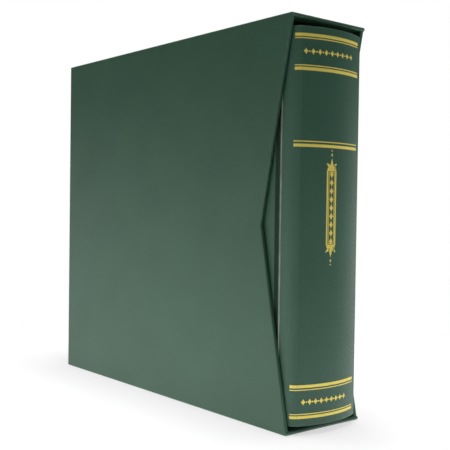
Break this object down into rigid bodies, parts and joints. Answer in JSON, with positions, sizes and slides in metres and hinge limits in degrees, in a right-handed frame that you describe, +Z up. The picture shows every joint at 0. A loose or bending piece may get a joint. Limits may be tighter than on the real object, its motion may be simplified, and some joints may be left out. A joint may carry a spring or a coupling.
{
  "type": "stamp album",
  "caption": "Ring-bound stamp album with leatherette covers on steel hinges, standing in an open slipcase with V-shaped thumb cuts in its sides.",
  "frame": {"origin": "centre of the bounding box on the plane that the slipcase stands on", "axes": "+Z up; -Y out of the open mouth, where the spine shows; +Y towards the closed back; +X to the right as seen when facing the spine"},
  "size_m": [0.079, 0.3382, 0.31],
  "materials": {
    "slipcase_leatherette": "green leatherette, very fine grain, soft satin",
    "album_leatherette": "green leatherette with a pebbled grain, satin, gold foil rules on the spine",
    "greyboard": "raw bookbinding board",
    "case_lining_paper": "dark green uncoated paper",
    "endpaper": "dark green uncoated paper",
    "spine_steel": "cold rolled sheet steel",
    "hinge_steel": "nickel plated steel, satin",
    "ring_steel": "nickel plated steel, polished",
    "album_paper": "heavy cream album leaves, seen as packets of sheets",
    "interleaf_paper": "thin translucent interleaving"
  },
  "bodies": {
    "case": {"case_left_board": "greyboard", "case_right_board": "greyboard", "case_top_board": "greyboard", "case_bottom_board": "greyboard", "case_back_board": "greyboard", "case_left_leatherette": "slipcase_leatherette", "case_right_leatherette": "slipcase_leatherette", "case_top_leatherette": "slipcase_leatherette", "case_bottom_leatherette": "slipcase_leatherette", "case_back_leatherette": "slipcase_leatherette", "case_lining": "case_lining_paper"},
    "album": {"spine_leatherette": "album_leatherette", "spine_shell": "spine_steel", "mounting_channel": "spine_steel", "front_spine_hinge_leaf": "hinge_steel", "back_spine_hinge_leaf": "hinge_steel", "front_cover_hinge_leaf": "hinge_steel", "back_cover_hinge_leaf": "hinge_steel", "front_hinge_pin": "hinge_steel", "back_hinge_pin": "hinge_steel", "front_cover_board": "greyboard", "back_cover_board": "greyboard", "front_cover_leatherette": "album_leatherette", "back_cover_leatherette": "album_leatherette", "front_endpaper": "endpaper", "back_endpaper": "endpaper", "ring_plate": "ring_steel", "rivets": "ring_steel", "lever_pins": "ring_steel", "leaf_packet_1": "album_paper", "leaf_packet_2": "album_paper", "leaf_packet_3": "album_paper", "leaf_packet_4": "album_paper", "interleaf_1": "interleaf_paper", "interleaf_2": "interleaf_paper", "interleaf_3": "interleaf_paper"},
    "right_ring_set": {"right_rail": "ring_steel", "right_ring_halves": "ring_steel"},
    "left_ring_set": {"left_rail": "ring_steel", "left_ring_halves": "ring_steel"},
    "top_lever": {"top_lever": "ring_steel"},
    "bottom_lever": {"bottom_lever": "ring_steel"}
  },
  "joints": [
    {"name": "album_slide", "type": "slide", "parent": "case", "child": "album", "axis": [0, -1, 0], "range_m": [0, 0.335]},
    {"name": "top_lever_turn", "type": "hinge", "parent": "album", "child": "top_lever", "pos_m": [0, -0.14662, 0.28165], "axis": [1, 0, 0], "range_deg": [0, 30]},
    {"name": "bottom_lever_turn", "type": "hinge", "parent": "album", "child": "bottom_lever", "pos_m": [0, -0.14662, 0.02565], "axis": [-1, 0, 0], "range_deg": [0, 30]},
    {"name": "right_rail_turn", "type": "hinge", "parent": "album", "child": "right_ring_set", "pos_m": [0.011, -0.14692, 0.15365], "axis": [0, 0, -1], "range_deg": [0, 12]},
    {"name": "left_rail_turn", "type": "hinge", "parent": "album", "child": "left_ring_set", "pos_m": [-0.011, -0.14692, 0.15365], "axis": [0, 0, 1], "range_deg": [0, 12]}
  ],
  "couplings": [
    {"joint": "bottom_lever_turn", "follows": "top_lever_turn", "ratio": 1},
    {"joint": "right_rail_turn", "follows": "top_lever_turn", "ratio": 0.4},
    {"joint": "left_rail_turn", "follows": "top_lever_turn", "ratio": 0.4}
  ]
}
